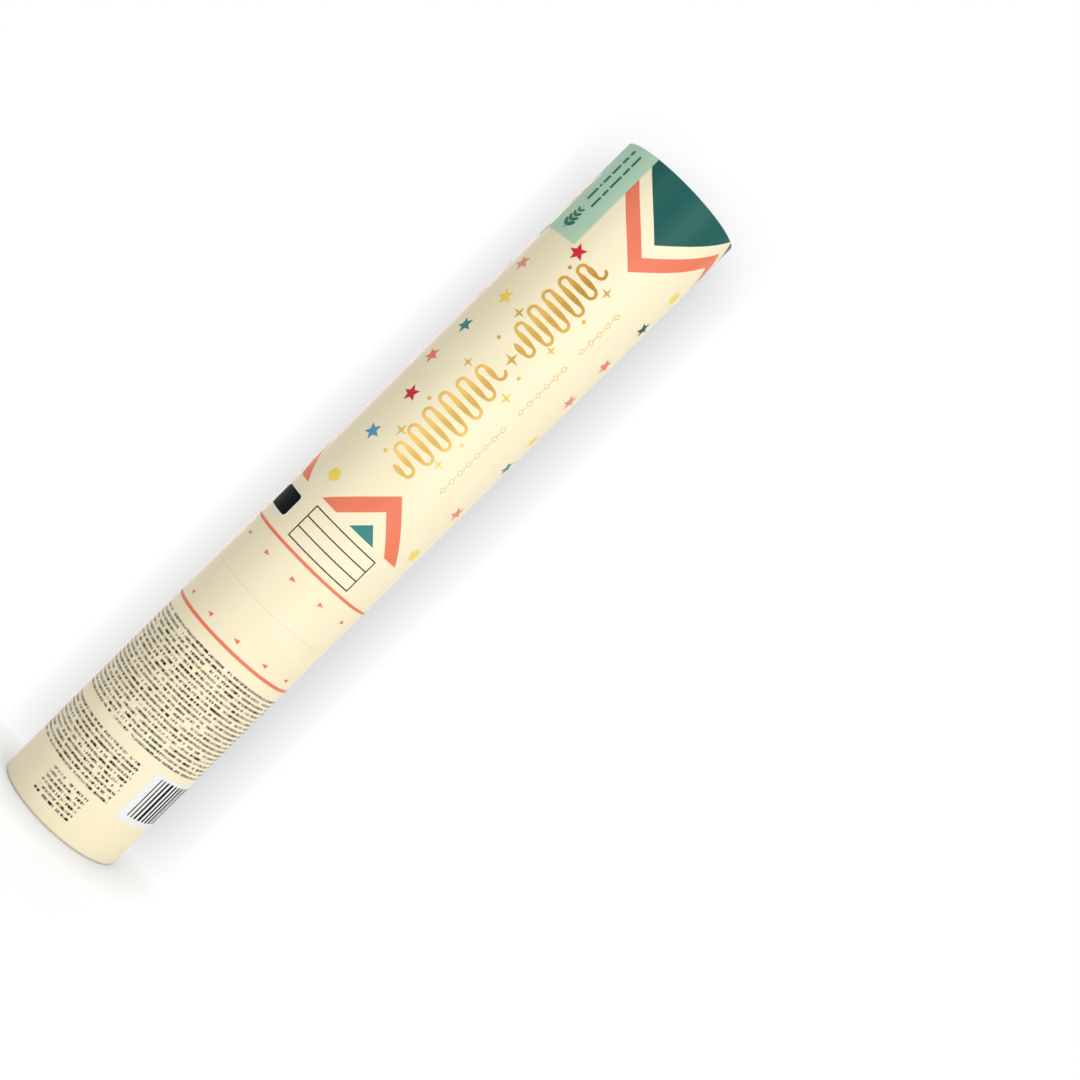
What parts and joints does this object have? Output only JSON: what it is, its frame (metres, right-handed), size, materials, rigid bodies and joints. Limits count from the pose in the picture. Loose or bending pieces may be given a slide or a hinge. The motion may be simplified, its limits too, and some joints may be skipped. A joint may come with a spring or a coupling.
{
  "type": "confetti popper",
  "caption": "Hand-held twist-fire confetti popper: a printed card tube whose grip turns to lift an air bottle onto a pin, blowing tissue stars out of the mouth.",
  "frame": {"origin": "centre of the base face, which stands on the surface", "axes": "+Z along the tube from the base to the mouth; -Y faces the picture's camera"},
  "size_m": [0.05, 0.05, 0.3],
  "materials": {
    "printed_paper": "satin printed paper",
    "sticker_paper": "matt mint paper",
    "grey_card": "wound card board",
    "white_plastic": "moulded, matt",
    "grey_plastic": "moulded, matt",
    "bottle_aluminium": "drawn, satin",
    "pin_steel": "turned",
    "spring_steel": "drawn wire",
    "seal_rubber": "moulded",
    "wad_felt": "pressed felt",
    "seal_paper": "plain paper",
    "tissue_red": "tissue",
    "tissue_yellow": "tissue",
    "tissue_sky": "tissue",
    "tissue_orange": "tissue",
    "tissue_green": "tissue",
    "tissue_pink": "tissue",
    "tissue_mint": "tissue",
    "tissue_peach": "tissue",
    "tissue_white": "tissue"
  },
  "bodies": {
    "barrel": {"barrel_tube": "grey_card", "barrel_wrap": "printed_paper", "mouth_sticker": "sticker_paper", "twist_collar": "white_plastic", "vent_plate": "grey_plastic", "firing_pin": "pin_steel", "valve_poppet": "grey_plastic", "safety_spring": "spring_steel"},
    "grip": {"grip_tube": "grey_card", "grip_wrap": "printed_paper", "base_plug": "white_plastic", "cam_ring": "grey_plastic", "retaining_ring": "grey_plastic"},
    "cartridge": {"bottle_cradle": "white_plastic", "air_bottle": "bottle_aluminium", "valve_cup": "bottle_aluminium", "seat_gasket": "seal_rubber", "neck_seal": "seal_rubber", "key_plate": "grey_plastic"},
    "wad": {"wad": "wad_felt", "card_disc": "grey_card"},
    "confetti_low": {"confetti_red": "tissue_red", "confetti_yellow": "tissue_yellow", "confetti_sky": "tissue_sky"},
    "confetti_mid": {"confetti_orange": "tissue_orange", "confetti_green": "tissue_green", "confetti_pink": "tissue_pink"},
    "confetti_top": {"confetti_mint": "tissue_mint", "confetti_peach": "tissue_peach", "confetti_white": "tissue_white"},
    "mouth_seal": {"mouth_seal": "seal_paper"}
  },
  "joints": [
    {"name": "grip_twist", "type": "hinge", "parent": "barrel", "child": "grip", "pos_m": [0, 0, 0.1025], "axis": [0, 0, -1], "range_deg": [0, 90]},
    {"name": "bottle_lift", "type": "slide", "parent": "barrel", "child": "cartridge", "axis": [0, 0, 1], "range_m": [0, 0.006], "deforming": ["safety_spring"]},
    {"name": "charge_travel", "type": "slide", "parent": "barrel", "child": "wad", "axis": [0, 0, 1], "range_m": [0, 0.15]},
    {"name": "confetti_low_travel", "type": "slide", "parent": "barrel", "child": "confetti_low", "axis": [0, 0, 1], "range_m": [0, 0.174]},
    {"name": "confetti_mid_travel", "type": "slide", "parent": "barrel", "child": "confetti_mid", "axis": [0, 0, 1], "range_m": [0, 0.204]},
    {"name": "confetti_top_travel", "type": "slide", "parent": "barrel", "child": "confetti_top", "axis": [0, 0, 1], "range_m": [0, 0.234]},
    {"name": "mouth_seal_travel", "type": "slide", "parent": "barrel", "child": "mouth_seal", "axis": [0, 0, 1], "range_m": [0, 0.267]}
  ],
  "couplings": [
    {"joint": "bottle_lift", "follows": "grip_twist", "m_per_rad": 0.0038197},
    {"joint": "confetti_low_travel", "follows": "charge_travel", "ratio": 1.16},
    {"joint": "confetti_mid_travel", "follows": "charge_travel", "ratio": 1.36},
    {"joint": "confetti_top_travel", "follows": "charge_travel", "ratio": 1.56},
    {"joint": "mouth_seal_travel", "follows": "charge_travel", "ratio": 1.78}
  ]
}
